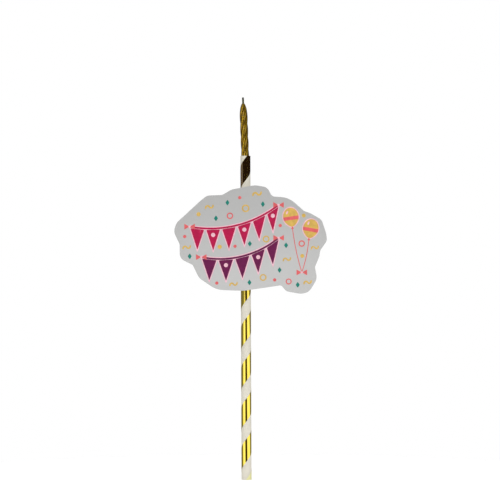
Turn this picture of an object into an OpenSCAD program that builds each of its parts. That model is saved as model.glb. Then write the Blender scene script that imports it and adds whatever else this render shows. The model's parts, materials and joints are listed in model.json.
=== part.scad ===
// Cake topper candle: a twisted candle in the mouth of a foil-striped paper straw, with a
// cloud-shaped printed plaque taped to the front of the straw.
// The straw stands along +Z with the middle of its lower end at the origin, and the plaque faces -Y.

/* [Straw] */
// Length of the paper tube
straw_l = 197; // [160:1:240]
// Outside diameter of the paper tube
straw_d = 6; // [5:0.1:8]
// Thickness of one paper ply
ply_t = 0.12; // [0.1:0.01:0.16]
// Thickness of the glue line between two plies
glue_t = 0.02; // [0.01:0.005:0.04]

/* [Foil stripe] */
// Rise of the stripe in one turn round the straw
stripe_pitch = 24.4; // [18:0.1:32]
// Width of the stripe, measured along the straw
stripe_w = 13.8; // [5:0.1:17]
// Height of the middle of the lowest full band, at the front of the straw
stripe_z = 18; // [9:0.5:30]
// Thickness of the foil
foil_t = 0.03; // [0.02:0.005:0.06]
// Thickness of the glue under the foil
foil_glue_t = 0.02; // [0.02:0.005:0.04]

/* [Candle] */
// Length of the wax from its foot to its tip
candle_l = 39.8; // [32:0.1:65]
// Depth of the candle's foot inside the straw
seat_depth = 8; // [6:0.5:20]
// Radial play of the candle in the straw
candle_play = 0.2; // [0.15:0.01:0.5]
// Least gap left between the leaning candle and the straw
seat_gap = 0.06; // [0.04:0.01:0.1]
// Number of twisted strands
strands = 4; // [3:1:6]
// Rise of one strand in a full turn
twist_pitch = 31.6; // [18:0.1:50]
// Depth of the grooves between the strands
groove_depth = 0.35; // [0.2:0.05:0.7]
// Length of the rounded shoulder under the wick
shoulder_l = 5.5; // [3:0.1:8]
// Diameter of the wax at its tip
tip_d = 1.9; // [1.6:0.1:2.4]
// Diameter of the wick
wick_d = 1.2; // [0.6:0.1:1.4]
// Length of wick above the wax
wick_show = 3.7; // [2:0.1:10]
// Radial gap between the wick and the wax
wick_gap = 0.02; // [0.01:0.005:0.05]

/* [Plaque] */
// Width of the plaque
plaque_w = 92.5; // [75:0.5:115]
// Height of the plaque
plaque_h = 65.8; // [54:0.2:80]
// Distance of the plaque's middle to the right of the straw
plaque_x = 3; // [-8:0.1:8]
// Distance from the straw's upper end down to the plaque's middle
plaque_drop = 51; // [45:0.2:70]
// Thickness of the printed front sheet
face_t = 0.15; // [0.1:0.01:0.3]
// Thickness of the grey board in the middle
core_t = 0.9; // [0.4:0.05:2]
// Thickness of the plain back sheet
back_t = 0.15; // [0.1:0.01:0.3]

/* [Foam pads] */
// Width of a pad across the straw
pad_w = 10; // [8:0.5:14]
// Length of a pad along the straw
pad_l = 18; // [10:0.5:20]
// Thickness of the foam tape
pad_t = 1.2; // [0.8:0.1:2]
// Foam left between the straw and the plaque
pad_web = 0.5; // [0.3:0.05:0.7]
// Gap between the foil and the hollow pressed into the foam
pad_gap = 0.03; // [0.02:0.01:0.06]
// Distance from the plaque's upper and lower ends to the pads
pad_margin = 6; // [5:0.5:7]

/* [Hidden] */
$fn = 96;

straw_r = straw_d / 2;
ply_step = ply_t + glue_t;
bore_r = straw_r - 2 * ply_step - ply_t;

foil_in_r = straw_r + foil_glue_t;
foil_out_r = foil_in_r + foil_t;
// Height left of the stripe where the straw's ends cut it to a point
foil_point = 0.4;
foil_step_angle = 10;

candle_r = bore_r - candle_play;
// The candle leans as far as its play lets it
candle_lean = atan(2 * (candle_play - seat_gap) / seat_depth);
ring_sides = 8 * strands;
ring_step = 1.1;
shoulder_z = candle_l - shoulder_l;

pad_hollow_r = foil_out_r + pad_gap;
plaque_back_y = -(pad_hollow_r + pad_web);
core_back_y = plaque_back_y - back_t;
face_back_y = core_back_y - core_t;
plaque_z = straw_l - plaque_drop;

// Length by which a cut runs past the solid that it goes through
cut_past = 1;

// Corners of the plaque's outline, clockwise from above the straw: the place across and up as
// shares of the half width and half height, and the rounding radius
outline_corners = [
    // Upper lobe
    [-0.25, 0.93, 8], [0.06, 1.01, 12], [0.22, 0.97, 5], [0.28, 0.80, 3],
    // Right shoulder and right lobe
    [0.50, 0.78, 14], [0.70, 0.53, 3], [0.78, 0.49, 5], [0.93, 0.37, 5],
    [0.99, 0.11, 8], [1.00, -0.02, 4], [0.91, -0.20, 4], [0.90, -0.30, 5], [0.84, -0.51, 3],
    // Lower right lobe
    [0.87, -0.72, 7], [0.76, -0.97, 8], [0.65, -1.00, 9], [0.46, -0.95, 4], [0.40, -0.84, 2],
    // Lower edge and lower left slope
    [-0.10, -0.94, 20], [-0.45, -0.92, 14], [-0.68, -0.70, 8], [-0.76, -0.46, 3],
    // Left lobes and upper left slope
    [-0.93, -0.34, 5], [-0.93, -0.08, 4], [-1.01, 0.16, 7], [-0.97, 0.32, 5],
    [-0.66, 0.72, 4], [-0.57, 0.82, 5], [-0.37, 0.83, 5]
];
// Largest share of an outline side that a rounded corner takes
corner_share = 0.48;
corner_step_angle = 6;

function unit(v) = v / norm(v);

// Points of the arc that rounds corner p between its neighbours a and b
function corner_arc(a, p, b, radius) =
    let (u = unit(a - p), v = unit(b - p), half = acos(u * v) / 2,
         reach = min(radius / tan(half), corner_share * min(norm(a - p), norm(b - p))),
         r = reach * tan(half),
         centre = p + unit(u + v) * r / sin(half),
         from = p + u * reach - centre,
         start = atan2(from[1], from[0]),
         way = u[0] * v[1] - u[1] * v[0] > 0 ? -1 : 1,
         sweep = way * (180 - 2 * half),
         steps = ceil(abs(sweep) / corner_step_angle))
    [for (k = [0:steps]) centre + r * [cos(start + sweep * k / steps), sin(start + sweep * k / steps)]];

// Closed outline with every corner rounded; each corner is a place and a radius
function rounded_outline(corners) =
    let (n = len(corners), place = [for (c = corners) [c[0], c[1]]])
    [for (i = [0:n - 1])
        each corner_arc(place[(i + n - 1) % n], place[i], place[(i + 1) % n], corners[i][2])];

// Outline moved and stretched so that it fills the width w and height h about the origin
function fitted(points, w, h) =
    let (xs = [for (p = points) p[0]], ys = [for (p = points) p[1]],
         lo = [min(xs), min(ys)], hi = [max(xs), max(ys)], mid = (lo + hi) / 2)
    [for (p = points) [(p[0] - mid[0]) * w / (hi[0] - lo[0]), (p[1] - mid[1]) * h / (hi[1] - lo[1])]];

plaque_outline = fitted(
    rounded_outline([for (c = outline_corners) [c[0] * plaque_w / 2, c[1] * plaque_h / 2, c[2]]]),
    plaque_w, plaque_h);

// Triangles of the skin between rings of points that follow each other
function skin(rings, sides) =
    [for (k = [0:rings - 2], j = [0:sides - 1])
        let (p = k * sides + j, q = k * sides + (j + 1) % sides)
        each [[p, p + sides, q], [q, p + sides, q + sides]]];

// Triangles of a fan that closes a ring on its middle point
function fan(ring, sides, middle, up) =
    [for (j = [0:sides - 1])
        let (p = ring * sides + j, q = ring * sides + (j + 1) % sides)
        up ? [p, middle, q] : [q, middle, p]];

// Point at radius r, at angle a from the front round to the right
function round_front(r, a, z) = [r * sin(a), -r * cos(a), z];

// Angle from the front at which the middle of the stripe has height z
function stripe_angle(z) = 360 * (z - stripe_z) / stripe_pitch;

foil_first = stripe_angle(foil_point - stripe_w / 2);
foil_last = stripe_angle(straw_l - foil_point + stripe_w / 2);
foil_steps = ceil((foil_last - foil_first) / foil_step_angle);

function foil_ring(a) =
    let (middle = stripe_z + stripe_pitch * a / 360,
         low = max(0, middle - stripe_w / 2),
         high = min(straw_l, middle + stripe_w / 2))
    [round_front(foil_in_r, a, low), round_front(foil_out_r, a, low),
     round_front(foil_out_r, a, high), round_front(foil_in_r, a, high)];

// Share of the full radius left at height z on the candle
function shoulder(z) =
    let (t = max(0, (z - shoulder_z) / shoulder_l))
    1 - (1 - tip_d / (2 * candle_r)) * (1 - cos(90 * t));

function strand_r(j) = candle_r - groove_depth * (1 - abs(cos(180 * strands * j / ring_sides)));

function candle_ring(z) =
    [for (j = [0:ring_sides - 1])
        let (a = 360 * j / ring_sides + 360 * z / twist_pitch, r = shoulder(z) * strand_r(j))
        [r * cos(a), r * sin(a), z]];

// Places a piece that stands in the candle's own frame, foot at its origin, in the straw's mouth
module in_straw_mouth() {
    translate([0, 0, straw_l - seat_depth / 2])
        rotate([0, -candle_lean, 0])
            translate([0, 0, -seat_depth / 2])
                children();
}

// Paper ply of the straw, counted from the outside
module ply(count) {
    outer_r = straw_r - count * ply_step;
    difference() {
        cylinder(r = outer_r, h = straw_l);
        translate([0, 0, -cut_past])
            cylinder(r = outer_r - ply_t, h = straw_l + 2 * cut_past);
    }
}

module straw_inner_ply() {
    color([0.90, 0.88, 0.84]) ply(2);
}

module straw_middle_ply() {
    color([0.86, 0.84, 0.79]) ply(1);
}

module straw_outer_ply() {
    color([0.93, 0.91, 0.87]) ply(0);
}

module foil_stripe() {
    points = [for (k = [0:foil_steps])
        each foil_ring(foil_first + (foil_last - foil_first) * k / foil_steps)];
    last = 4 * foil_steps;
    faces = concat(
        skin(foil_steps + 1, 4),
        [[0, 1, 2], [0, 2, 3], [last + 2, last + 1, last], [last + 3, last + 2, last]]);
    color([0.85, 0.70, 0.18]) polyhedron(points, faces);
}

module candle_wax() {
    rings = ceil(candle_l / ring_step);
    points = concat(
        [for (k = [0:rings]) each candle_ring(candle_l * k / rings)],
        [[0, 0, 0], [0, 0, candle_l]]);
    foot_point = (rings + 1) * ring_sides;
    tip_point = foot_point + 1;
    faces = concat(
        skin(rings + 1, ring_sides),
        fan(0, ring_sides, foot_point, false),
        fan(rings, ring_sides, tip_point, true));
    color([0.62, 0.50, 0.14])
        in_straw_mouth()
            difference() {
                polyhedron(points, faces);
                translate([0, 0, -cut_past])
                    cylinder(d = wick_d + 2 * wick_gap, h = candle_l + 2 * cut_past);
            }
}

module candle_wick() {
    color([0.42, 0.41, 0.32])
        in_straw_mouth()
            cylinder(d = wick_d, h = candle_l + wick_show);
}

// Flat sheet cut to the plaque's outline, from back_y forwards
module plaque_layer(back_y, thickness) {
    translate([plaque_x, back_y, plaque_z])
        rotate([90, 0, 0])
            linear_extrude(thickness)
                polygon(plaque_outline);
}

module plaque_back_sheet() {
    color([0.88, 0.88, 0.87]) plaque_layer(plaque_back_y, back_t);
}

module plaque_core_board() {
    color([0.62, 0.60, 0.56]) plaque_layer(core_back_y, core_t);
}

module plaque_face_sheet() {
    color([0.80, 0.80, 0.80]) plaque_layer(face_back_y, face_t);
}

// Piece of foam tape with the straw pressed into its back, from bottom_z upwards
module foam_pad(bottom_z) {
    difference() {
        translate([-pad_w / 2, plaque_back_y, bottom_z])
            cube([pad_w, pad_t, pad_l]);
        translate([0, 0, bottom_z - cut_past])
            cylinder(r = pad_hollow_r, h = pad_l + 2 * cut_past);
    }
}

module foam_pad_upper() {
    color([0.95, 0.95, 0.93]) foam_pad(plaque_z + plaque_h / 2 - pad_margin - pad_l);
}

module foam_pad_lower() {
    color([0.95, 0.95, 0.93]) foam_pad(plaque_z - plaque_h / 2 + pad_margin);
}

straw_inner_ply();
straw_middle_ply();
straw_outer_ply();
foil_stripe();
candle_wax();
candle_wick();
plaque_back_sheet();
plaque_core_board();
plaque_face_sheet();
foam_pad_upper();
foam_pad_lower();
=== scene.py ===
"""Looks of a cake topper candle: a striped paper straw, a twisted candle and a printed plaque.

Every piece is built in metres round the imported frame, where the straw stands along +Z and the
plaque faces -Y.
"""

import json
import math

import bmesh
import bpy
from mathutils import Matrix, Vector, noise


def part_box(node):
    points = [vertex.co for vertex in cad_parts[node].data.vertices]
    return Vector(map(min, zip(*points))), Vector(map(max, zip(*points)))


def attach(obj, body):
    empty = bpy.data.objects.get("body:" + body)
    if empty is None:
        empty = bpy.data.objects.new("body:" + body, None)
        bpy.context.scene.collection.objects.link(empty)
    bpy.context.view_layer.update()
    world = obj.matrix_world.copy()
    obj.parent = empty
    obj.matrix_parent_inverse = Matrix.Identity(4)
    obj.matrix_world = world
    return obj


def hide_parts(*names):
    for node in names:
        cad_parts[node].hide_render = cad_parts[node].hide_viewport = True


bl_info = {
    "name": "Cake Topper Candle",
    "version": (1, 0, 0),
    "blender": (4, 5, 0),
    "location": "3D View > Sidebar > Topper",
    "description": "Builds the straw, candle, plaque and print of a cake topper candle on its frame",
    "category": "Add Mesh",
}

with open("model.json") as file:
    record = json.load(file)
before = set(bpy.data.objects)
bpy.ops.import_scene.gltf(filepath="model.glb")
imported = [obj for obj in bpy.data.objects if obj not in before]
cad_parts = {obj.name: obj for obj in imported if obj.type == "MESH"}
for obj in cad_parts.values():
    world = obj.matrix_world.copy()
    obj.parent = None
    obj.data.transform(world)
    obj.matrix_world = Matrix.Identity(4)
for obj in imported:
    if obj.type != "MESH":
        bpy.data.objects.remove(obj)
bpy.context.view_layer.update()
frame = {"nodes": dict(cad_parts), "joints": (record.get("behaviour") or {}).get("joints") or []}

MM = 0.001
TURN = 2 * math.pi
UP = Vector((0, 0, 1))
FRONT = Vector((0, -1, 0))

# Sizes and places that the frame gives
PLIES = ("straw_outer_ply", "straw_middle_ply", "straw_inner_ply")
STRAW_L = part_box("straw_outer_ply")[1].z
FOIL_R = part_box("foil_stripe")[1].x
WICK_LOW, WICK_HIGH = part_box("candle_wick")
WICK_R = WICK_HIGH.y
CANDLE_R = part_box("candle_wax")[1].y
CANDLE_AXIS = Vector(frame["joints"][0]["axis"]).normalized()
# The candle leans, so the middles of its ends lie in from the corners of the wick's box
WICK_RIM = Vector((CANDLE_AXIS.z, 0, CANDLE_AXIS.x)) * WICK_R
CANDLE_FOOT = Vector((WICK_HIGH.x, 0, WICK_LOW.z)) - WICK_RIM
WICK_TOP = Vector((WICK_LOW.x, 0, WICK_HIGH.z)) + WICK_RIM
WICK_L = (WICK_TOP - CANDLE_FOOT).length
WAX_L = (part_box("candle_wax")[1].z - CANDLE_FOOT.z) / CANDLE_AXIS.z
TO_CANDLE = Matrix.Translation(CANDLE_FOOT) @ UP.rotation_difference(CANDLE_AXIS).to_matrix().to_4x4()
FACE_LOW, FACE_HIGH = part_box("plaque_face_sheet")
PLAQUE_MIDDLE = (FACE_LOW + FACE_HIGH) / 2
PRINT_Y = FACE_LOW.y


def length(name, description, default):
    """A length in metres for a property group."""
    return bpy.props.FloatProperty(
        name=name, description=description, default=default, min=0, precision=6, unit="LENGTH"
    )


def tint(name, description, default):
    """A linear colour for a property group."""
    return bpy.props.FloatVectorProperty(
        name=name, description=description, default=default, size=3, min=0, max=1, subtype="COLOR"
    )


class TopperStraw(bpy.types.PropertyGroup):
    """Sizes and colours of the straw and its foil"""

    ply_t: length("Ply thickness", "Thickness of one wound paper strip", 0.12 * MM)
    seam: length("Seam", "Gap where a wound strip meets itself", 0.07 * MM)
    seam_drop: length("Seam drop", "Distance of the outer seam under the foil's lower edge", 1.6 * MM)
    pitch: length("Stripe pitch", "Rise of the foil stripe in one turn", 24.4 * MM)
    stripe_w: length("Stripe width", "Width of the foil stripe along the straw", 13.8 * MM)
    stripe_z: length("Stripe height", "Height of the lowest full band at the front", 18 * MM)
    foil_t: length("Foil thickness", "Thickness of the foil", 0.03 * MM)
    paper: tint("Paper", "Colour of the outer paper", (0.60, 0.57, 0.49))
    inner_paper: tint("Inner paper", "Colour of the inner plies", (0.66, 0.62, 0.53))
    gold: tint("Gold foil", "Colour of the foil", (1.0, 0.78, 0.12))


class TopperCandle(bpy.types.PropertyGroup):
    """Sizes and colours of the candle and its wick"""

    wax_l: length("Wax length", "Length of the wax from foot to tip", WAX_L)
    strands: bpy.props.IntProperty(
        name="Strands", description="Twisted strands of wax", default=4, min=3, max=6
    )
    twist_pitch: length("Twist pitch", "Rise of a strand in a full turn", 31.6 * MM)
    groove: length("Groove depth", "Depth of the grooves between strands", 0.35 * MM)
    lumps: length("Lumps", "Unevenness of the dipped wax", 0.025 * MM)
    shoulder_l: length("Shoulder length", "Length of the rounded shoulder", 5.5 * MM)
    tip_r: length("Tip radius", "Radius of the wax at its tip", 0.95 * MM)
    wick_gap: length("Wick gap", "Radial gap between the wick and the wax", 0.02 * MM)
    yarn_pitch: length("Yarn pitch", "Rise of a wick yarn in a full turn", 2.4 * MM)
    gold: tint("Gold wax", "Colour of the candle's crests", (0.44, 0.265, 0.009))
    # Colour of the painted shade in the candle's grooves
    shade: tint("Groove shade", "Colour in the candle's grooves", (0.2, 0.11, 0.006))
    cotton: tint("Wick cotton", "Colour of the waxed wick", (0.045, 0.045, 0.02))


class TopperPlaque(bpy.types.PropertyGroup):
    """Sizes and colours of the plaque, its print and its pads"""

    edge: length("Edge", "Rounding of the die-cut edges", 0.05 * MM)
    foam_edge: length("Foam edge", "Rounding of the foam pads", 0.3 * MM)
    ink_t: length("Ink thickness", "Thickness of one layer of ink", 0.015 * MM)
    halo: length("Halo", "Width of the pale rim round a printed shape", 0.6 * MM)
    face: tint("Face", "Colour of the coated front sheet", (0.468, 0.468, 0.463))
    board: tint("Board", "Colour of the grey board", (0.40, 0.38, 0.34))
    back: tint("Back", "Colour of the plain back sheet", (0.74, 0.73, 0.70))
    foam: tint("Foam", "Colour of the foam tape", (0.86, 0.86, 0.82))
    magenta: tint("Magenta ink", "Colour of the upper garland", (0.43, 0.003, 0.060))
    purple: tint("Purple ink", "Colour of the lower garland", (0.135, 0.007, 0.065))
    teal: tint("Teal ink", "Colour of the diamonds", (0.010, 0.20, 0.155))
    yellow: tint("Yellow ink", "Colour of the balloons", (0.62, 0.40, 0.09))
    coral: tint("Coral ink", "Colour of the bows and stripes", (0.68, 0.115, 0.12))
    pale: tint("Pale ink", "Colour of the rims", (0.77, 0.46, 0.53))


class TopperStage(bpy.types.PropertyGroup):
    """Floor, light and camera"""

    floor_r: length("Floor radius", "Radius of the floor", 220 * MM)
    view_w: length("View width", "Width that the picture covers at the straw", 304.3 * MM)
    view_x: length("View middle across", "Place of the picture's middle, right of the straw", 2.6 * MM)
    view_z: length("View middle up", "Height of the picture's middle", 139.7 * MM)
    view_roll: bpy.props.FloatProperty(
        name="View roll", description="Roll of the camera", default=math.radians(0.2), subtype="ANGLE"
    )
    distance: length("Camera distance", "Distance from the camera to the straw", 1.8)
    key_w: length("Key size", "Width of the soft key light", 0.2)
    key_power: bpy.props.FloatProperty(
        name="Key power", description="Power of the soft key light in watts", default=0.92, min=0
    )
    floor: tint("Floor", "Colour of the floor", (1.0, 1.0, 1.0))


class Value:
    """A socket of a shader; operators on it add Math nodes."""

    def __init__(self, graph, socket):
        self.graph = graph
        self.socket = socket

    def maths(self, operation, *others, swapped=False):
        """A Math node on this value and others; swapped puts the others first."""
        ends = (*others, self) if swapped else (self, *others)
        return self.graph.node("ShaderNodeMath", {"operation": operation}, dict(enumerate(ends)))

    def __add__(self, other):
        return self.maths("ADD", other)

    def __sub__(self, other):
        return self.maths("SUBTRACT", other)

    def __rsub__(self, other):
        return self.maths("SUBTRACT", other, swapped=True)

    def __mul__(self, other):
        return self.maths("MULTIPLY", other)

    def __truediv__(self, other):
        return self.maths("DIVIDE", other)

    def __neg__(self):
        return self.maths("MULTIPLY", -1)

    __radd__ = __add__
    __rmul__ = __mul__

    def step(self, low, high):
        """A smooth step from 0 at low to 1 at high."""
        return self.graph.node(
            "ShaderNodeMapRange",
            {"interpolation_type": "SMOOTHSTEP"},
            {"Value": self, "From Min": low, "From Max": high},
        )


class Graph:
    """The node tree of a material or of the world."""

    def __init__(self, tree):
        self.tree = tree
        tree.nodes.clear()

    def node(self, kind, settings=None, inputs=None, output=0):
        """Adds a node, sets it up, feeds its sockets and returns one of its outputs, if it has any."""
        made = self.tree.nodes.new(kind)
        for name, value in (settings or {}).items():
            setattr(made, name, value)
        for key, value in (inputs or {}).items():
            if isinstance(value, Value):
                self.tree.links.new(value.socket, made.inputs[key])
            else:
                made.inputs[key].default_value = value
        return Value(self, made.outputs[output]) if made.outputs else None

    def place(self, stretch=(1, 1, 1)):
        """Object coordinates, stretched along the axes."""
        at = self.node("ShaderNodeTexCoord", output="Object")
        if stretch == (1, 1, 1):
            return at
        return self.node("ShaderNodeMapping", None, {"Vector": at, "Scale": stretch})

    def axes(self, vector):
        """The three numbers of a vector."""
        split = self.node("ShaderNodeSeparateXYZ", None, {"Vector": vector})
        return [Value(self, socket) for socket in split.socket.node.outputs]

    def noise(self, size, detail=3.0, stretch=(1, 1, 1), rough=0.5):
        """Noise with features of about one size, in metres."""
        inputs = {
            "Vector": self.place(stretch),
            "Scale": 1 / size,
            "Detail": detail,
            "Roughness": rough,
        }
        return self.node("ShaderNodeTexNoise", None, inputs)

    def cells(self, size, output="Distance"):
        """A pattern of cells of about one size, in metres."""
        inputs = {"Vector": self.place(), "Scale": 1 / size}
        return self.node("ShaderNodeTexVoronoi", None, inputs, output)

    def mix(self, factor, a, b):
        """A colour between a and b."""
        inputs = {0: factor, 6: solid(a), 7: solid(b)}
        return self.node("ShaderNodeMix", {"data_type": "RGBA"}, inputs, 2)

    def bump(self, height, depth):
        """A normal from a height between 0 and 1, for a relief that is depth metres deep."""
        return self.node("ShaderNodeBump", None, {"Height": height, "Strength": 1.0, "Distance": depth})

    def surface(self, **sockets):
        """A Principled surface with these sockets, written with underscores, as the output."""
        inputs = {name.replace("_", " "): solid(value) for name, value in sockets.items()}
        shader = self.node("ShaderNodeBsdfPrincipled", None, inputs)
        self.node("ShaderNodeOutputMaterial", None, {"Surface": shader})


def solid(value):
    """A colour with its alpha, or any other value as it is."""
    if not isinstance(value, (Value, int, float)) and len(value) == 3:
        return (*value, 1.0)
    return value


def darker(colour, share):
    """A colour times a number."""
    return tuple(channel * share for channel in colour)


def make_material(name, paint, *values):
    """A new material whose nodes the function paint makes."""
    material = bpy.data.materials.new(name)
    material.use_nodes = True
    paint(Graph(material.node_tree), *values)
    return material


def paint_straw_paper(g, colour):
    """Uncoated white paper: fibres, faint clouds, and a soft, blotchy greying towards the stake's lower
    end.
    """
    fibres = g.noise(0.35 * MM, 5, (1, 1, 0.35), 0.62)
    clouds = g.noise(4 * MM, 2)
    low_end = 1 - g.axes(g.place())[2].step(0.0, 9 * MM)
    base = g.mix(clouds.step(0.35, 0.7), colour, darker(colour, 0.95))
    base = g.mix(fibres.step(0.56, 0.74) * 0.5, base, darker(colour, 0.84))
    base = g.mix(low_end * clouds * 0.3, base, darker(colour, 0.8))
    g.surface(
        Base_Color=base,
        Roughness=fibres * 0.18 + 0.66,
        Normal=g.bump(fibres, 0.02 * MM),
        Specular_IOR_Level=0.3,
    )


def paint_ply_paper(g, colour):
    """Plain inner paper with a coarser fibre."""
    fibres = g.noise(0.5 * MM, 5, (1, 1, 0.4), 0.6)
    base = g.mix(fibres.step(0.4, 0.75), colour, darker(colour, 0.86))
    g.surface(Base_Color=base, Roughness=fibres * 0.1 + 0.8, Normal=g.bump(fibres, 0.03 * MM))


def paint_gold_foil(g, colour, pitch, stripe_w, stripe_z):
    """Mirror gold foil: the paper's grain shows through it, its edges are rubbed, and it is paler and
    less metallic at its lower end.
    """
    x, y, z = g.axes(g.place())
    angle = x.maths("ARCTAN2", -y)
    along = (z - stripe_z) / pitch - angle / TURN + 0.5
    across = (along.maths("FRACT") - 0.5).maths("ABSOLUTE") * pitch
    grain = g.noise(0.5 * MM, 4, (1, 1, 0.3))
    streaks = g.noise(2.2 * MM, 3, (1, 1, 0.12))
    edge = across.step(stripe_w / 2 - 0.5 * MM, stripe_w / 2) * grain.step(0.42, 0.6)
    # The foil turns paler, rougher and less metallic towards its lower end
    pale_foot = (grain * 4 * MM - z).step(-5 * MM, -2 * MM)
    base = g.mix(streaks.step(0.3, 0.75), colour, darker(colour, 0.9))
    base = g.mix(edge * 0.5, base, (0.9, 0.76, 0.36))
    base = g.mix(pale_foot * 0.9, base, (0.66, 0.66, 0.34))
    g.surface(
        Base_Color=base,
        Metallic=1 - pale_foot * 0.85,
        Roughness=streaks * 0.04 + edge * 0.14 + pale_foot * 0.4 + 0.03,
        Normal=g.bump(grain * 0.3 + streaks * 0.7, 0.0015 * MM),
    )


def paint_gold_wax(g, crest, shade):
    """Gold pearl wax: fine flakes, a gloss on the crests and painted shade in the grooves."""
    groove = g.node("ShaderNodeAttribute", {"attribute_name": "groove"}, output="Fac")
    flakes = g.cells(0.08 * MM, "Color")
    glint = g.axes(flakes)[0].step(0.72, 0.95)
    runs = g.noise(1.6 * MM, 4, (1, 1, 0.4))
    # Painted shade: the grooves, and the low parts of the runs, take the darker groove colour
    base = g.mix((groove * 1.15 - runs * 0.25).step(0.05, 0.7), crest, shade)
    base = g.mix(glint * 0.2, base, (0.92, 0.68, 0.14))
    g.surface(
        Base_Color=base,
        Metallic=0.95,
        Roughness=runs * 0.14 + groove * 0.2 + 0.29 - glint * 0.1,
        Normal=g.bump(runs * 0.95 + glint * 0.05, 0.01 * MM),
        Coat_Weight=(1 - groove) * 0.4,
        Coat_Roughness=0.12,
    )


def paint_wick(g, colour):
    """Cotton yarn: fine fibres along the yarns, an olive foot soaked in wax and a darker cut end."""
    fibres = g.noise(0.12 * MM, 4, (1, 1, 0.2), 0.65)
    down = WICK_TOP.z - g.axes(g.place())[2]
    soaked = down.step(1 * MM, 2.4 * MM)
    tip = 1 - down.step(0, 0.9 * MM)
    base = g.mix(fibres.step(0.4, 0.7), colour, darker(colour, 1.45))
    base = g.mix(soaked * 0.8, base, (0.06, 0.07, 0.006))
    base = g.mix(tip * 0.5, base, darker(colour, 0.45))
    g.surface(
        Base_Color=base,
        Roughness=fibres * 0.2 + 0.62,
        Normal=g.bump(fibres, 0.04 * MM),
        Specular_IOR_Level=0.2,
    )


def paint_face(g, colour):
    """Satin coated paper: painted shade that deepens the ground upwards, a faint orange peel and some
    handling marks.
    """
    peel = g.noise(0.5 * MM, 2)
    clouds = g.noise(18 * MM, 3)
    marks = g.noise(5 * MM, 6, (1, 1, 0.3), 0.7)
    # Painted shade: the ground darkens from the sheet's foot towards its top
    height = g.axes(g.place())[2].step(FACE_LOW.z, FACE_HIGH.z)
    base = g.mix(height, colour, darker(colour, 0.83))
    base = g.mix(clouds.step(0.3, 0.75) * 0.3, base, darker(colour, 0.85))
    base = g.mix(marks.step(0.62, 0.8) * 0.25, base, darker(colour, 0.78))
    g.surface(
        Base_Color=base,
        Roughness=marks * 0.14 + 0.34,
        Normal=g.bump(peel, 0.006 * MM),
        Coat_Weight=0.15,
        Coat_Roughness=0.22,
    )


def paint_board(g, colour):
    """Grey board: pressed layers of fibre with flecks."""
    layers = g.noise(1.2 * MM, 4, (0.5, 9, 0.5), 0.6)
    flecks = g.cells(0.7 * MM).step(0.28, 0.12)
    base = g.mix(layers.step(0.35, 0.7), colour, darker(colour, 0.72))
    base = g.mix(flecks * 0.4, base, darker(colour, 1.5))
    g.surface(Base_Color=base, Roughness=layers * 0.1 + 0.82, Normal=g.bump(layers, 0.06 * MM))


def paint_back(g, colour):
    """Plain uncoated back paper with long fibres and faint clouds."""
    fibres = g.noise(0.6 * MM, 5, (0.4, 1, 1), 0.62)
    clouds = g.noise(9 * MM, 3)
    base = g.mix(clouds.step(0.3, 0.75), colour, darker(colour, 0.93))
    base = g.mix(fibres.step(0.56, 0.75) * 0.6, base, darker(colour, 0.82))
    g.surface(Base_Color=base, Roughness=fibres * 0.12 + 0.72, Normal=g.bump(fibres, 0.02 * MM))


def paint_foam(g, colour):
    """Closed-cell foam tape: fine cells that are cut open, with painted shade in their hollows."""
    cells = g.cells(0.28 * MM)
    clouds = g.noise(3 * MM, 3)
    # Painted shade: the open cells are darker in their hollows, where the bump is low
    base = g.mix(cells.step(0.1, 0.55), darker(colour, 0.82), colour)
    base = g.mix(clouds * 0.35, base, darker(colour, 0.9))
    g.surface(Base_Color=base, Roughness=cells * 0.1 + 0.78, Normal=g.bump(cells, 0.05 * MM))


def paint_ink(g, colour):
    """Printed ink: slightly uneven cover, a satin gloss and small scuffs that thin it."""
    cover = g.noise(2.4 * MM, 3)
    dots = g.cells(0.22 * MM)
    scuffs = g.noise(3.2 * MM, 6, (1, 1, 0.25), 0.72).step(0.63, 0.74)
    base = g.mix(cover.step(0.3, 0.7), colour, darker(colour, 0.82))
    base = g.mix(dots.step(0.5, 0.2) * 0.12, base, darker(colour, 1.3))
    base = g.mix(scuffs * 0.35, base, (0.6, 0.57, 0.57))
    g.surface(
        Base_Color=base,
        Roughness=cover * 0.1 + scuffs * 0.12 + 0.30,
        Normal=g.bump(dots, 0.004 * MM),
    )


def paint_floor(g, colour):
    """Matt white floor with a barely seen grain."""
    grain = g.noise(1.5 * MM, 3)
    g.surface(Base_Color=g.mix(grain, colour, darker(colour, 0.98)), Roughness=grain * 0.1 + 0.75)


# Edges past these angles are shaded as sharp
PLAIN_LIMIT = math.radians(35)
SHEET_LIMIT = math.radians(40)
TWIST_LIMIT = math.radians(60)


def sharpen(bm, limit, flat_area=None):
    """Smooth shading, with sharp edges past an angle and round every face over an area."""
    for edge in bm.edges:
        edge.smooth = len(edge.link_faces) == 2 and edge.calc_face_angle(math.pi) < limit
    for face in bm.faces:
        face.smooth = True
        if flat_area and face.calc_area() > flat_area:
            for edge in face.edges:
                edge.smooth = False


def add_piece(name, bm, material, body, replaced=(), limit=PLAIN_LIMIT, flat_area=None):
    """Makes an object of a finished bmesh and seats it on its body."""
    sharpen(bm, limit, flat_area)
    mesh = bpy.data.meshes.new(name)
    bm.to_mesh(mesh)
    bm.free()
    mesh.materials.append(material)
    piece = bpy.data.objects.new(name, mesh)
    bpy.context.scene.collection.objects.link(piece)
    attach(piece, body)
    if replaced:
        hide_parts(*replaced)
    return piece


# Edges past CORNER_ANGLE are corners to round; faces within FLAT_ANGLE of each other are one face
CORNER_ANGLE = math.radians(60)
FLAT_ANGLE = math.radians(0.5)
MERGE_DIST = 1e-6
CUT_DIST = 1e-8


def everything(bm):
    """All geometry of a bmesh."""
    return bm.verts[:] + bm.edges[:] + bm.faces[:]


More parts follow.
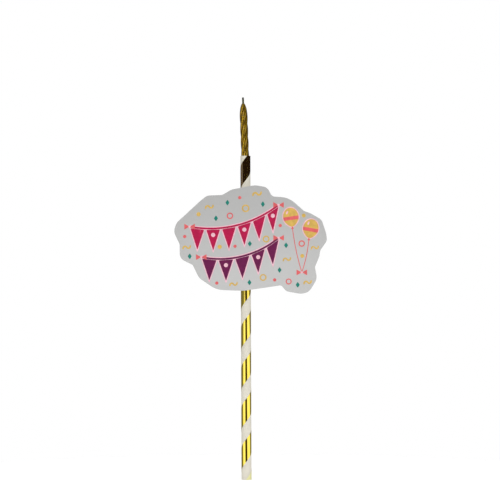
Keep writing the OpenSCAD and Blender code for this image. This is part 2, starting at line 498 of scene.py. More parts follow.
def only(kind, made):
    """The items of one kind among the geometry that an operator made."""
    return [item for item in made["geom"] if isinstance(item, kind)]


def open_edges(edges):
    """The edges that lie at the rim of an open mesh."""
    return [edge for edge in edges if edge.is_boundary]


def corner_edges(bm):
    """The edges where two faces meet in a corner."""
    return [edge for edge in bm.edges if edge.calc_face_angle(0) > CORNER_ANGLE]


def cut_off(bm, geom, z, normal):
    """Removes what lies past a level plane, on the side that its normal points to."""
    return bmesh.ops.bisect_plane(
        bm, geom=geom, dist=CUT_DIST, plane_co=(0, 0, z), plane_no=normal, clear_outer=True
    )


def wind(bm, geom, rise, turns, steps):
    """Spins geometry round Z while it rises."""
    bmesh.ops.spin(
        bm,
        geom=geom,
        cent=(0, 0, 0),
        axis=UP,
        dvec=UP * (rise / steps),
        angle=TURN * turns,
        steps=steps,
    )


def round_off(bm, geom, width, segments, affect="EDGES"):
    """Rounds edges or vertices with a bevel."""
    bmesh.ops.bevel(
        bm,
        geom=geom,
        offset=width,
        offset_type="OFFSET",
        affect=affect,
        segments=segments,
        profile=0.5,
        material=-1,
    )


def thicken(bm, move):
    """Makes a solid of an open sheet: its copy is moved by the function move and joined to it."""
    made = bmesh.ops.extrude_face_region(bm, geom=bm.faces[:])
    move(only(bmesh.types.BMVert, made))
    bmesh.ops.recalc_face_normals(bm, faces=bm.faces[:])


WRAP_STEPS = 96


def wound_strip(outer_r, thickness, width, pitch, middle_z):
    """A strip wound round Z in a rising helix and cut square at both ends of the straw."""
    bm = bmesh.new()
    start_z = middle_z - pitch * math.ceil((middle_z + width) / pitch)
    turns = math.ceil((STRAW_L - start_z + width) / pitch)
    ends = [bm.verts.new((0, -outer_r, start_z + side * width / 2)) for side in (-1, 1)]
    edge = bm.edges.new(ends)
    wind(bm, [*ends, edge], pitch * turns, turns, WRAP_STEPS * turns)
    cut_off(bm, everything(bm), STRAW_L, UP)
    cut_off(bm, everything(bm), 0, -UP)
    inner = (outer_r - thickness) / outer_r
    thicken(bm, lambda verts: bmesh.ops.scale(bm, vec=(inner, inner, 1), verts=verts))
    return bm


class TOPPER_OT_straw(bpy.types.Operator):
    """Winds the three paper plies of the straw, each with its own seam"""

    bl_idname = "topper.straw"
    bl_label = "Paper Straw"

    def execute(self, context):
        sizes = context.scene.topper_straw
        outer = make_material("straw_paper", paint_straw_paper, tuple(sizes.paper))
        inner = make_material("ply_paper", paint_ply_paper, tuple(sizes.inner_paper))
        seam_z = sizes.stripe_z - sizes.stripe_w / 2 - sizes.seam_drop
        for count, node in enumerate(PLIES):
            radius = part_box(node)[1].x
            middle = seam_z - sizes.pitch / 2 - count * sizes.pitch / len(PLIES)
            bm = wound_strip(radius, sizes.ply_t, sizes.pitch - sizes.seam, sizes.pitch, middle)
            material, slot = (inner, "ply_paper") if count else (outer, "straw_paper")
            add_piece(node + "_wound", bm, material, "topper", [node])
        return {"FINISHED"}


class TOPPER_OT_foil(bpy.types.Operator):
    """Winds the gold foil stripe round the straw"""

    bl_idname = "topper.foil"
    bl_label = "Foil Stripe"

    def execute(self, context):
        sizes = context.scene.topper_straw
        gold = make_material(
            "gold_foil", paint_gold_foil, tuple(sizes.gold), sizes.pitch, sizes.stripe_w, sizes.stripe_z
        )
        bm = wound_strip(FOIL_R, sizes.foil_t, sizes.stripe_w, sizes.pitch, sizes.stripe_z)
        add_piece("foil_stripe_wound", bm, gold, "topper", ["foil_stripe"])
        return {"FINISHED"}


# Mesh steps of the wax, the unevenness of its surface and the rise of its collar
STRAND_STEPS = 18
WAX_RING = 0.3 * MM
LUMP_SIZE = 1.5 * MM
LUMP_STRETCH = 2
PIT_SIZE = 0.6 * MM
PIT_SHARE = 0.3
GROOVE_FADE = 0.7
COLLAR_RISE = 0.25 * MM


def strand_ring(bm, sizes, groove_layer):
    """A ring with one rounded crest for each strand and a sharp groove between them."""
    made = bmesh.ops.create_circle(bm, segments=STRAND_STEPS * sizes.strands, radius=CANDLE_R)
    for vert in made["verts"]:
        angle = math.atan2(vert.co.y, vert.co.x)
        groove = 1 - abs(math.cos(sizes.strands * angle / 2))
        vert[groove_layer] = groove
        vert.co *= 1 - groove * sizes.groove / CANDLE_R
    return made["verts"]


def roughen(bm, sizes):
    """Makes the dipped surface uneven, always inwards, so that it keeps to the candle's size."""
    for vert in bm.verts:
        lump = noise.noise(Vector((vert.co.x, vert.co.y, vert.co.z / LUMP_STRETCH)) / LUMP_SIZE)
        pit = noise.noise(vert.co / PIT_SIZE)
        depth = sizes.lumps * (1 + lump * (1 - PIT_SHARE) + pit * PIT_SHARE) / 2
        vert.co.xy *= 1 - depth / CANDLE_R


def round_shoulder(bm, sizes):
    """Draws the top of the wax in to its tip and softens the grooves there."""
    low = sizes.wax_l - sizes.shoulder_l
    plain_r = CANDLE_R - sizes.groove / 2
    for vert in bm.verts:
        share = (vert.co.z - low) / sizes.shoulder_l
        if share > 0:
            across = vert.co.xy
            across = across.lerp(across.normalized() * plain_r, GROOVE_FADE * share)
            slim = 1 - (1 - sizes.tip_r / CANDLE_R) * (1 - math.cos(share * math.pi / 2))
            vert.co.xy = across * slim


def close_in(bm, edges, *stops):
    """Carries a ring of edges in through stops, each a radius and a height; returns the last ring."""
    for radius, z in stops:
        made = bmesh.ops.extrude_edge_only(bm, edges=edges)
        for vert in only(bmesh.types.BMVert, made):
            vert.co.xy = vert.co.xy.normalized() * radius
            vert.co.z = z
        edges = open_edges(only(bmesh.types.BMEdge, made))
    return edges


class TOPPER_OT_candle(bpy.types.Operator):
    """Twists the candle's wax, with its shoulder and the wick's hole"""

    bl_idname = "topper.candle"
    bl_label = "Twisted Candle"

    def execute(self, context):
        sizes = context.scene.topper_candle
        bm = bmesh.new()
        foot = strand_ring(bm, sizes, bm.verts.layers.float.new("groove"))
        strand_l = sizes.wax_l - COLLAR_RISE
        rings = round(strand_l / WAX_RING)
        wind(bm, foot + bm.edges[:], strand_l, strand_l / sizes.twist_pitch, rings)
        roughen(bm, sizes)
        round_shoulder(bm, sizes)
        hole_r = WICK_R + sizes.wick_gap
        collar_r = (sizes.tip_r + hole_r) / 2
        half = sizes.wax_l / 2
        top = [edge for edge in open_edges(bm.edges) if edge.verts[0].co.z > half]
        low = [edge for edge in open_edges(bm.edges) if edge.verts[0].co.z < half]
        top = close_in(bm, top, (collar_r, sizes.wax_l), (hole_r, sizes.wax_l))
        low = close_in(bm, low, (hole_r, 0))
        bmesh.ops.bridge_loops(bm, edges=top + low)
        bmesh.ops.recalc_face_normals(bm, faces=bm.faces[:])
        bmesh.ops.transform(bm, matrix=TO_CANDLE, verts=bm.verts[:])
        gold = make_material("gold_wax", paint_gold_wax, tuple(sizes.gold), tuple(sizes.shade))
        add_piece("candle_wax_twisted", bm, gold, "candle", ["candle_wax"], TWIST_LIMIT)
        return {"FINISHED"}


OUTER_YARNS = 6
YARN_SIDES = 10
YARN_STEPS = 14
FIBRES = 9
FIBRE_SIDES = 5
FIBRE_R = 0.05 * MM
FIBRE_TIP_R = 0.015 * MM
FIBRE_L = 0.15 * MM
FIBRE_L_STEP = 0.03 * MM
FIBRE_TILT = math.radians(8)
FIBRE_TILT_STEP = math.radians(5)
# Place of the fibres on the cut end and how deep they are sunk, as shares of radius and length
FIBRE_RING = 0.6
FIBRE_SUNK = 0.2


class TOPPER_OT_wick(bpy.types.Operator):
    """Twists cotton yarns into the wick and frays its cut end"""

    bl_idname = "topper.wick"
    bl_label = "Cotton Wick"

    def execute(self, context):
        sizes = context.scene.topper_candle
        bm = bmesh.new()
        yarn_r = WICK_R / (1 + 1 / math.sin(math.pi / OUTER_YARNS))
        bmesh.ops.create_circle(bm, segments=YARN_SIDES, radius=yarn_r)
        for count in range(OUTER_YARNS):
            turn = Matrix.Rotation(TURN * count / OUTER_YARNS, 4, "Z")
            seat = turn @ Matrix.Translation((WICK_R - yarn_r, 0, 0))
            bmesh.ops.create_circle(bm, segments=YARN_SIDES, radius=yarn_r, matrix=seat)
        turns = WICK_L / sizes.yarn_pitch
        wind(bm, everything(bm), WICK_L, turns, round(YARN_STEPS * turns))
        bmesh.ops.holes_fill(bm, edges=open_edges(bm.edges), sides=0)
        for count in range(FIBRES):
            self.add_fibre(bm, count)
        bmesh.ops.recalc_face_normals(bm, faces=bm.faces[:])
        bmesh.ops.transform(bm, matrix=TO_CANDLE, verts=bm.verts[:])
        cotton = make_material("wick_cotton", paint_wick, tuple(sizes.cotton))
        add_piece("candle_wick_twisted", bm, cotton, "candle", ["candle_wick"], TWIST_LIMIT)
        return {"FINISHED"}

    @staticmethod
    def add_fibre(bm, count):
        """One loose fibre at the cut end; the lengths and tilts follow the count."""
        fibre_l = FIBRE_L + FIBRE_L_STEP * (count * 4 % FIBRES)
        tilt = FIBRE_TILT + FIBRE_TILT_STEP * (count * 2 % FIBRES)
        turn = TURN * count * 4 / FIBRES
        root = Matrix.Translation((0, 0, WICK_L)) @ Matrix.Rotation(turn, 4, "Z")
        root = root @ Matrix.Translation((FIBRE_RING * WICK_R, 0, 0)) @ Matrix.Rotation(tilt, 4, "Y")
        bmesh.ops.create_cone(
            bm,
            cap_ends=True,
            segments=FIBRE_SIDES,
            radius1=FIBRE_R,
            radius2=FIBRE_TIP_R,
            depth=fibre_l,
            matrix=root @ Matrix.Translation((0, 0, (0.5 - FIBRE_SUNK) * fibre_l)),
        )


PLAQUE_LAYERS = (
    ("plaque_face_sheet", "face", paint_face, "plaque_print_sheet"),
    ("plaque_core_board", "board", paint_board, "plaque_board"),
    ("plaque_back_sheet", "back", paint_back, "plaque_back_paper"),
)
FLAT_AREA = (20 * MM) ** 2
EDGE_STEPS = 3


def node_copy(node):
    """A merged copy of a frame node's mesh, with its flat faces made whole."""
    bm = bmesh.new()
    bm.from_mesh(frame["nodes"][node].data)
    bmesh.ops.remove_doubles(bm, verts=bm.verts[:], dist=MERGE_DIST)
    bmesh.ops.dissolve_limit(bm, angle_limit=FLAT_ANGLE, verts=bm.verts[:], edges=bm.edges[:])
    return bm


class TOPPER_OT_plaque(bpy.types.Operator):
    """Makes the plaque's printed sheet, grey board and back sheet, with soft die-cut edges"""

    bl_idname = "topper.plaque"
    bl_label = "Plaque"

    def execute(self, context):
        sizes = context.scene.topper_plaque
        for node, colour, paint, slot in PLAQUE_LAYERS:
            bm = node_copy(node)
            round_off(bm, corner_edges(bm), sizes.edge, EDGE_STEPS)
            material = make_material(slot, paint, tuple(getattr(sizes, colour)))
            add_piece(node + "_cut", bm, material, "topper", [node], SHEET_LIMIT, FLAT_AREA)
        return {"FINISHED"}


PAD_GROOVE_STEPS = 20
PAD_GROOVE_GAP = 0.03 * MM
PAD_EDGE_STEPS = 4


class TOPPER_OT_pads(bpy.types.Operator):
    """Makes the two foam pads, each with a hollow for the straw and soft edges"""

    bl_idname = "topper.pads"
    bl_label = "Foam Pads"

    def execute(self, context):
        sizes = context.scene.topper_plaque
        foam = make_material("foam_tape", paint_foam, tuple(sizes.foam))
        groove_r = FOIL_R + PAD_GROOVE_GAP
        for node in ("foam_pad_upper", "foam_pad_lower"):
            low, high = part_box(node)
            bm = bmesh.new()
            half = math.acos(-high.y / groove_r)
            start = bm.verts.new((groove_r * math.sin(half), high.y, low.z))
            bmesh.ops.spin(
                bm, geom=[start], cent=(0, 0, low.z), axis=-UP, angle=2 * half, steps=PAD_GROOVE_STEPS
            )
            corners = [(low.x, high.y), (low.x, low.y), (high.x, low.y), (high.x, high.y)]
            outline = bm.verts[:] + [bm.verts.new((x, y, low.z)) for x, y in corners]
            bm.faces.new(outline)
            thicken(bm, lambda verts: bmesh.ops.translate(bm, vec=UP * (high.z - low.z), verts=verts))
            round_off(bm, corner_edges(bm), sizes.foam_edge, PAD_EDGE_STEPS)
            piece = add_piece(node + "_soft", bm, foam, "topper", [node])
        return {"FINISHED"}


# The print is laid out in millimetres right of and above the plaque's middle
UPPER_GARLAND = {"left": (-37, 8), "right": (17, 21), "sag": 6, "count": 6, "drop": 12.5}
LOWER_GARLAND = {"left": (-30, -10.5), "right": (17, 1), "sag": 5.5, "count": 5, "drop": 12.5}
CORD_W = 1.1 * MM
CORD_GAP = 0.3 * MM
CORD_STEPS = 48
# The gap beside a pennant as a share of its place on the cord, and a spot's place on the way to the tip
PENNANT_GAP = 0.07
SPOT_DROP = 0.25
PENNANT_ROUND = 0.6 * MM
CORNER_STEPS = 4
SPOT_R = 1.25 * MM
# Balloons, each with its place in millimetres and its tilt in degrees
BALLOONS = ((24.5, 13.5, -8), (36.5, 6.5, 10))
BALLOON_TIE = (31, -20)
BALLOON_W = 9.4 * MM
BALLOON_H = 11.6 * MM
BALLOON_TAPER = 0.3
BALLOON_STEPS = 56
STRIPE_H = 2.2 * MM
STRIPE_DROP = 0.6 * MM
GLEAM_PLACE = (-0.2 * BALLOON_W, 0, 0.27 * BALLOON_H)
GLEAM_HALF = (0.55 * MM, 1.1 * MM)
GLEAM_TILT = 24
KNOT_HALF_W = 0.9 * MM
KNOT_H = 1.3 * MM
KNOT_LAP = 0.4 * MM
KNOT_ROUND = 0.2 * MM
STRING_W = 0.45 * MM
STRING_SAG = 0.6 * MM
STRING_STEPS = 12
# Bows, with the other sizes as shares of a loop's length
BOW_L = 3.2 * MM
BOW_HALF_H = 0.55
BOW_GAP = 0.02
BOW_ROUND = 0.08
BOW_KNOT_R = 0.22
# Confetti, with these sizes as shares of the size of each one
RING_W = 0.45
RING_STEPS = 32
SQUIGGLE_W = 0.4
SQUIGGLE_STEPS = 20
SQUIGGLE_TILT = math.radians(-30)
DIAMOND_HALF_W = 0.7
DIAMOND_ROUND = 0.2
# The ink, the shape, the place and the size in millimetres
CONFETTI = (
    ("yellow", "squiggle", 4.0, 27.8, 2.6),
    ("coral", "dot", -6.5, 25.5, 1.0),
    ("teal", "diamond", 7.5, 21.5, 1.8),
    ("yellow", "ring", -3.0, 19.0, 1.9),
    ("teal", "diamond", -14.0, 22.5, 1.8),
    ("yellow", "squiggle", -25.0, 20.0, 2.4),
    ("coral", "ring", -12.5, 14.5, 1.6),
    ("yellow", "dot", -31.5, 15.5, 1.3),
    ("teal", "diamond", -21.0, 13.0, 1.8),
    ("coral", "dot", -40.0, 2.0, 1.0),
    ("yellow", "squiggle", -38.8, -4.5, 2.3),
    ("teal", "diamond", -37.0, -10.0, 1.8),
    ("yellow", "dot", -18.8, -4.3, 1.3),
    ("coral", "dot", -9.5, -4.0, 1.0),
    ("teal", "diamond", -0.5, -2.5, 1.8),
    ("yellow", "ring", 9.4, 0.3, 1.7),
    ("coral", "dot", 18.0, 8.5, 1.0),
    ("yellow", "dot", 32.3, 14.5, 1.2),
    ("coral", "ring", 31.0, -2.5, 1.6),
    ("yellow", "squiggle", 39.0, -5.0, 2.2),
    ("teal", "diamond", 21.5, -3.5, 1.8),
    ("yellow", "dot", 31.3, -10.0, 1.2),
    ("yellow", "squiggle", 22.0, -12.0, 2.3),
    ("coral", "dot", -20.6, -26.3, 1.0),
    ("yellow", "squiggle", -10.5, -27.0, 2.3),
    ("teal", "diamond", -0.8, -26.0, 1.8),
    ("yellow", "ring", 7.5, -23.0, 1.7),
    ("coral", "dot", 14.5, -24.5, 1.0),
    ("teal", "diamond", 17.5, -18.5, 1.8),
    ("coral", "ring", 23.0, -25.5, 1.5),
    ("teal", "diamond", 28.5, -27.5, 1.8),
    ("yellow", "squiggle", 34.5, -26.0, 2.3),
)
# The colour of each layer of ink and its height in layers; shapes that cross have different heights
INKS = {
    "cord_rims": ("pale", 0.6),
    "rims": ("pale", 1.0),
    "magenta": ("magenta", 2.0),
    "purple": ("purple", 2.0),
    "teal": ("teal", 2.0),
    "yellow": ("yellow", 2.0),
    "coral": ("coral", 1.6),
    "stripes": ("coral", 2.8),
    "spots": ("pale", 3.4),
}


def on_plaque(across, up):
    """A point of the print from its place in millimetres."""
    return Vector((PLAQUE_MIDDLE.x + across * MM, 0, PLAQUE_MIDDLE.z + up * MM))


def add_polygon(bm, points, rounding):
    """A flat polygon with rounded corners."""
    corners = [bm.verts.new(point) for point in points]
    bm.faces.new(corners)
    round_off(bm, corners, rounding, CORNER_STEPS, "VERTICES")


def add_disc(bm, middle, half_w, half_h, tilt=0, steps=24):
    """A flat ellipse, tilted by an angle in degrees."""
    stand = Matrix.Rotation(math.radians(tilt), 4, "Y") @ Matrix.Rotation(math.pi / 2, 4, "X")
    matrix = Matrix.Translation(middle) @ stand @ Matrix.Diagonal((half_w, half_h, 1, 1))
    return bmesh.ops.create_circle(bm, cap_ends=True, segments=steps, radius=1, matrix=matrix)["verts"]


def add_arc(bm, centre, start, width, angle, steps, whole=False):
    """A flat band along an arc about a centre, from a point of its middle line."""
    out = (start - centre).normalized() * (width / 2)
    ends = [bm.verts.new(start - out), bm.verts.new(start + out)]
    edge = bm.edges.new(ends)
    bmesh.ops.spin(
        bm, geom=[*ends, edge], cent=centre, axis=FRONT, angle=angle, steps=steps, use_merge=whole
    )


def hung_arc(left, right, sag):
    """The centre and the angle of an arc that hangs between two points."""
    chord = right - left
    radius = (chord.length_squared / 4 + sag * sag) / (2 * sag)
    rise = Vector((-chord.z, 0, chord.x)).normalized()
    return left + chord / 2 + rise * (radius - sag), 2 * math.asin(chord.length / 2 / radius)


class Garland:
    """A cord that hangs in an arc between two points, with pennants under it and a bow at each end."""

    def __init__(self, left, right, sag, count, drop):
        self.ends = (on_plaque(*left), on_plaque(*right))
        self.centre, self.angle = hung_arc(*self.ends, sag * MM)
        self.count = count
        self.drop = drop * MM

    def point(self, share, out):
        """A point at a share of the arc, moved away from its centre."""
        arm = Matrix.Rotation(-self.angle * share, 3, "Y") @ (self.ends[0] - self.centre)
        return self.centre + arm * (1 + out / arm.length)

    def pennants(self):
        """The three corners of each pennant."""
        top = CORD_W / 2 + CORD_GAP
        for count in range(self.count):
            start, end = (count + PENNANT_GAP) / self.count, (count + 1 - PENNANT_GAP) / self.count
            tip = self.point((start + end) / 2, top) - UP * self.drop
            yield self.point(start, top), self.point(end, top), tip

    def draw(self, inks, ink, halo):
        """Adds the cord and the pennants in one ink, with pale rims, spots and bows."""
        for layer, width in ((ink, CORD_W), ("cord_rims", CORD_W + 2 * halo)):
            add_arc(inks[layer], self.centre, self.ends[0], width, self.angle, CORD_STEPS)
        for count, corners in enumerate(self.pennants()):
            add_polygon(inks[ink], corners, PENNANT_ROUND)
            add_polygon(inks["rims"], grown(corners, halo), PENNANT_ROUND + halo)
            if count % 2:
                left, right, tip = corners
                middle = ((left + right) / 2).lerp(tip, SPOT_DROP)
                add_disc(inks["spots"], middle, SPOT_R, SPOT_R)
        for end in self.ends:
            add_bow(inks, end)


def grown(corners, distance):
    """A triangle with each side moved out by a distance."""
    a, b, c = corners
    sides = ((b - c).length, (c - a).length, (a - b).length)
    middle = sum((corner * side for corner, side in zip(corners, sides)), Vector()) / sum(sides)
    inner_r = (b - a).cross(c - a).length / sum(sides)
    return [middle + (corner - middle) * (1 + distance / inner_r) for corner in corners]


def add_bow(inks, middle):
    """A small bow: two loops that meet in a knot."""
    lift = UP * (BOW_HALF_H * BOW_L)
    knot_r = BOW_KNOT_R * BOW_L
    for side in (-1, 1):
        near = middle + Vector((side * BOW_GAP * BOW_L, 0, 0))
        far = middle + Vector((side * BOW_L, 0, 0))
        add_polygon(inks["stripes"], (near, far - lift, far + lift), BOW_ROUND * BOW_L)
    add_disc(inks["spots"], middle, knot_r, knot_r, steps=16)


class Balloon:
    """A balloon that narrows to its knot, with a string down to the bunch's bow."""

    def __init__(self, across, up, tilt):
        turn = Matrix.Rotation(math.radians(tilt), 4, "Y")
        self.seat = Matrix.Translation(on_plaque(across, up)) @ turn
        self.tied = on_plaque(*BALLOON_TIE)

    def add_body(self, bm, grow, low=None, high=None):
        """The balloon's outline, grown by a length; low and high keep only a band of it."""
        half_w, half_h = BALLOON_W / 2 + grow, BALLOON_H / 2 + grow
        verts = add_disc(bm, Vector(), half_w, half_h, steps=BALLOON_STEPS)
        for vert in verts:
            if vert.co.z < 0:
                vert.co.x *= 1 - BALLOON_TAPER * (vert.co.z / half_h) ** 2
        if low is not None:
            verts = self.keep_band(bm, verts, low, high)
        bmesh.ops.transform(bm, matrix=self.seat, verts=verts)

    @staticmethod
    def keep_band(bm, verts, low, high):
        """Cuts away what lies under low and over high."""
        face = verts[0].link_faces[0]
        for z, normal in ((low, -UP), (high, UP)):
            made = cut_off(bm, [face, *face.edges, *face.verts], z, normal)
            face = only(bmesh.types.BMFace, made)[0]
        return list(face.verts)

    def draw(self, inks, halo):
        """Adds the balloon, its rim, its stripe, its gleam, its knot and its string."""
        self.add_body(inks["yellow"], 0)
        self.add_body(inks["rims"], halo)
        self.add_body(inks["stripes"], 0, -STRIPE_H / 2 - STRIPE_DROP, STRIPE_H / 2 - STRIPE_DROP)
        gleam = self.seat @ Vector(GLEAM_PLACE)
        add_disc(inks["spots"], gleam, *GLEAM_HALF, GLEAM_TILT)
        neck_z = -BALLOON_H / 2
        knot = self.seat @ Vector((0, 0, neck_z)) + UP * KNOT_LAP
        hem = [self.seat @ Vector((side * KNOT_HALF_W, 0, neck_z - KNOT_H)) for side in (-1, 1)]
        add_polygon(inks["stripes"], (knot, *hem), KNOT_ROUND)
        start = sum(hem, Vector()) / 2
        left, right = sorted((start, self.tied), key=lambda point: point.x)
        centre, angle = hung_arc(left, right, STRING_SAG)
        add_arc(inks["coral"], centre, left, STRING_W, angle, STRING_STEPS)


def add_confetto(bm, shape, middle, size):
    """One dot, ring, squiggle or diamond."""
    lift = UP * size
    if shape == "dot":
        add_disc(bm, middle, size, size)
    elif shape == "ring":
        add_arc(bm, middle, middle + lift, RING_W * size, TURN, RING_STEPS, whole=True)
    elif shape == "squiggle":
        along = Matrix.Rotation(SQUIGGLE_TILT, 3, "Y") @ Vector((size / 2, 0, 0))
        for centre in (middle - along, middle + along):
            add_arc(bm, centre, middle, SQUIGGLE_W * size, math.pi, SQUIGGLE_STEPS)
    else:
        side = Vector((DIAMOND_HALF_W * size, 0, 0))
        corners = (middle + lift, middle - side, middle - lift, middle + side)
        add_polygon(bm, corners, DIAMOND_ROUND * size)


class TOPPER_OT_print(bpy.types.Operator):
    """Prints garlands, balloons and confetti on the plaque in thin layers of ink"""

    bl_idname = "topper.print"
    bl_label = "Plaque Print"

    def execute(self, context):
        sizes = context.scene.topper_plaque
        inks = {name: bmesh.new() for name in INKS}
        Garland(**UPPER_GARLAND).draw(inks, "magenta", sizes.halo)
        Garland(**LOWER_GARLAND).draw(inks, "purple", sizes.halo)
        for place in BALLOONS:
            Balloon(*place).draw(inks, sizes.halo)
        add_bow(inks, on_plaque(*BALLOON_TIE))
        for ink, shape, across, up, size in CONFETTI:
            add_confetto(inks[ink], shape, on_plaque(across, up), size * MM)
        for name, bm in inks.items():
            colour, height = INKS[name]
            self.lay(name, bm, height * sizes.ink_t, tuple(getattr(sizes, colour)))
        return {"FINISHED"}

    @staticmethod
    def lay(name, bm, height, colour):
        """Gives the shapes of one layer their thickness on the sheet."""
        bmesh.ops.remove_doubles(bm, verts=bm.verts[:], dist=MERGE_DIST)
        bmesh.ops.translate(bm, vec=(0, PRINT_Y, 0), verts=bm.verts[:])
        thicken(bm, lambda verts: bmesh.ops.translate(bm, vec=FRONT * height, verts=verts))
        ink = make_material("ink_" + name, paint_ink, colour)
        add_piece("print_" + name, bm, ink, "topper")


KEY_PLACE = Vector((0.03, -0.45, 0.2))
FLOOR_STEPS = 96
SENSOR_W = 36
# Brightness of what the gold mirrors
PANEL_LIGHT = 1.08
DIM_LIGHT = 0.2
GAP_LIGHT = 0.04
WALL_LIGHT = 0.015
GLOW_LIGHT = 0.18
CEILING_LIGHT = 0.4
SOFTBOX_LIGHT = 7
# Brightness of the soft light on matt faces, and what is added from above and from the right
SOFT_LIGHT = 0.56
SOFT_ABOVE = 0.67
SOFT_RIGHT = 0.08
# Tints of what the gold mirrors
WHITE = (1, 1, 1)
GAP_TINT = (1, 0.75, 0.2)
WALL_TINT = (1, 0.55, 1)
GLOW_TINT = (0.95, 0.9, 3.5)


def paint_world(g):
    """A white studio: even soft light on matt faces, and panels with dark gaps for the gold to mirror."""
    x, y, z = g.axes(g.node("ShaderNodeTexCoord", output="Generated"))
    flat = (x * x + y * y).maths("SQRT")
    ahead = (x * 0.1 - y) / flat
    aside = -x / flat
    # Panels on both sides below the horizon that narrow towards it, with a dark gap ahead
    level = z.step(-0.065, -0.02)
    brink = z.step(-0.026, -0.012)
    gap = ((x * (level * 0.14 - 0.04) - y) / flat - z * 0.5 + brink * 0.05).step(0.945, 0.975)
    panel = (ahead - aside.step(-0.2, 0.2) * level * 0.36 - brink * 0.4).step(0, 0.14) * (1 - gap)
    low = panel * PANEL_LIGHT + DIM_LIGHT - gap * (DIM_LIGHT - GAP_LIGHT)
    # A dark wall above the horizon with a faint glow at the left
    glow = aside.step(0.9, 0.98)
    wall = z.step(-0.01, 0.01)
    mirrored = low * (1 - wall) + (glow * GLOW_LIGHT + WALL_LIGHT) * wall
    # A bright ceiling, and a softbox at the left that gleams on the wax
    ceiling = z.step(0.25, 0.6)
    mirrored = mirrored * (1 - ceiling) + ceiling * CEILING_LIGHT
    box = aside.step(0.46, 0.53) * (1 - aside.step(0.7, 0.77)) * ahead.step(0, 0.1)
    box = box * z.step(0.1, 0.16) * (1 - z.step(0.36, 0.42))
    mirrored = mirrored + box * SOFTBOX_LIGHT
    # Soft light from all round, stronger from above
    soft = z.step(0.1, 0.8) * SOFT_ABOVE + x * SOFT_RIGHT + SOFT_LIGHT
    mirror_ray = g.node("ShaderNodeLightPath", output="Is Glossy Ray")
    camera_ray = g.node("ShaderNodeLightPath", output="Is Camera Ray")
    strength = mirrored * mirror_ray + soft * (1 - mirror_ray)
    strength = strength * (1 - camera_ray) + camera_ray
    # Only mirrored light is tinted: in the gap, and on the foot of the wall
    wall_foot = wall * (1 - z.step(0.04, 0.1))
    colour = g.mix(gap * mirror_ray, WHITE, GAP_TINT)
    colour = g.mix(wall_foot * mirror_ray, colour, g.mix(glow, WALL_TINT, GLOW_TINT))
    sky = g.node("ShaderNodeBackground", None, {"Color": colour, "Strength": strength})
    g.node("ShaderNodeOutputWorld", None, {"Surface": sky})


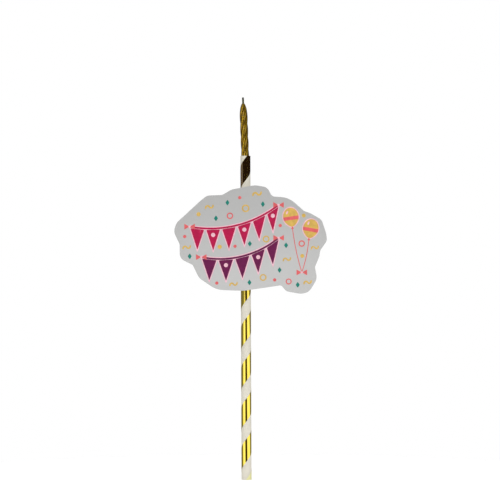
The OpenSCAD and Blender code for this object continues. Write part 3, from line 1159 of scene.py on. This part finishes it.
class TOPPER_OT_stage(bpy.types.Operator):
    """Sets the floor, the soft light and the camera"""

    bl_idname = "topper.stage"
    bl_label = "Stage"

    def execute(self, context):
        sizes = context.scene.topper_stage
        scene = context.scene
        self.add_floor(scene, sizes)
        world = bpy.data.worlds.new("studio")
        world.use_nodes = True
        paint_world(Graph(world.node_tree))
        scene.world = world
        self.add_key(scene, sizes)
        self.add_camera(scene, sizes)
        scene.view_settings.view_transform = "Standard"
        return {"FINISHED"}

    @staticmethod
    def add_floor(scene, sizes):
        """A round floor that the gold does not mirror."""
        bm = bmesh.new()
        bmesh.ops.create_circle(bm, cap_ends=True, segments=FLOOR_STEPS, radius=sizes.floor_r)
        mesh = bpy.data.meshes.new("floor")
        bm.to_mesh(mesh)
        bm.free()
        mesh.materials.append(make_material("floor", paint_floor, tuple(sizes.floor)))
        floor = bpy.data.objects.new("floor", mesh)
        floor.visible_glossy = False
        scene.collection.objects.link(floor)

    @staticmethod
    def add_key(scene, sizes):
        """A soft key light that is turned to the plaque and itself stays unseen."""
        light = bpy.data.lights.new("key", "AREA")
        light.shape = "DISK"
        light.size = sizes.key_w
        light.energy = sizes.key_power
        key = bpy.data.objects.new("key", light)
        key.location = KEY_PLACE
        key.visible_camera = False
        key.visible_glossy = False
        key.rotation_euler = (PLAQUE_MIDDLE - key.location).to_track_quat("-Z", "Y").to_euler()
        scene.collection.objects.link(key)

    @staticmethod
    def add_camera(scene, sizes):
        """A level camera in front of the topper, with a slight roll."""
        lens = bpy.data.cameras.new("camera")
        lens.sensor_width = SENSOR_W
        lens.lens = SENSOR_W * sizes.distance / sizes.view_w
        lens.clip_start = 0.01
        camera = bpy.data.objects.new("camera", lens)
        camera.location = (sizes.view_x, -sizes.distance, sizes.view_z)
        camera.rotation_euler = (math.pi / 2, sizes.view_roll, 0)
        scene.collection.objects.link(camera)
        scene.camera = camera


OPERATORS = (
    TOPPER_OT_straw,
    TOPPER_OT_foil,
    TOPPER_OT_candle,
    TOPPER_OT_wick,
    TOPPER_OT_plaque,
    TOPPER_OT_pads,
    TOPPER_OT_print,
    TOPPER_OT_stage,
)
GROUPS = {
    "topper_straw": TopperStraw,
    "topper_candle": TopperCandle,
    "topper_plaque": TopperPlaque,
    "topper_stage": TopperStage,
}


class TOPPER_PT_sidebar(bpy.types.Panel):
    """The topper's pieces and their sizes"""

    bl_label = "Cake Topper Candle"
    bl_idname = "TOPPER_PT_sidebar"
    bl_space_type = "VIEW_3D"
    bl_region_type = "UI"
    bl_category = "Topper"

    def draw(self, context):
        for operator in OPERATORS:
            self.layout.operator(operator.bl_idname)
        for group in GROUPS:
            box = self.layout.box()
            values = getattr(context.scene, group)
            for name in values.__annotations__:
                box.prop(values, name)


CLASSES = (*GROUPS.values(), *OPERATORS, TOPPER_PT_sidebar)


def register():
    """Adds the classes and the scene's groups of values."""
    for cls in CLASSES:
        bpy.utils.register_class(cls)
    for name, group in GROUPS.items():
        setattr(bpy.types.Scene, name, bpy.props.PointerProperty(type=group))


def unregister():
    """Takes them away again."""
    for name in GROUPS:
        delattr(bpy.types.Scene, name)
    for cls in reversed(CLASSES):
        bpy.utils.unregister_class(cls)


def main():
    """Builds everything in order."""
    register()
    bpy.ops.topper.straw()
    bpy.ops.topper.foil()
    bpy.ops.topper.candle()
    bpy.ops.topper.wick()
    bpy.ops.topper.plaque()
    bpy.ops.topper.pads()
    bpy.ops.topper.print()
    bpy.ops.topper.stage()


if __name__ == "__main__":
    main()
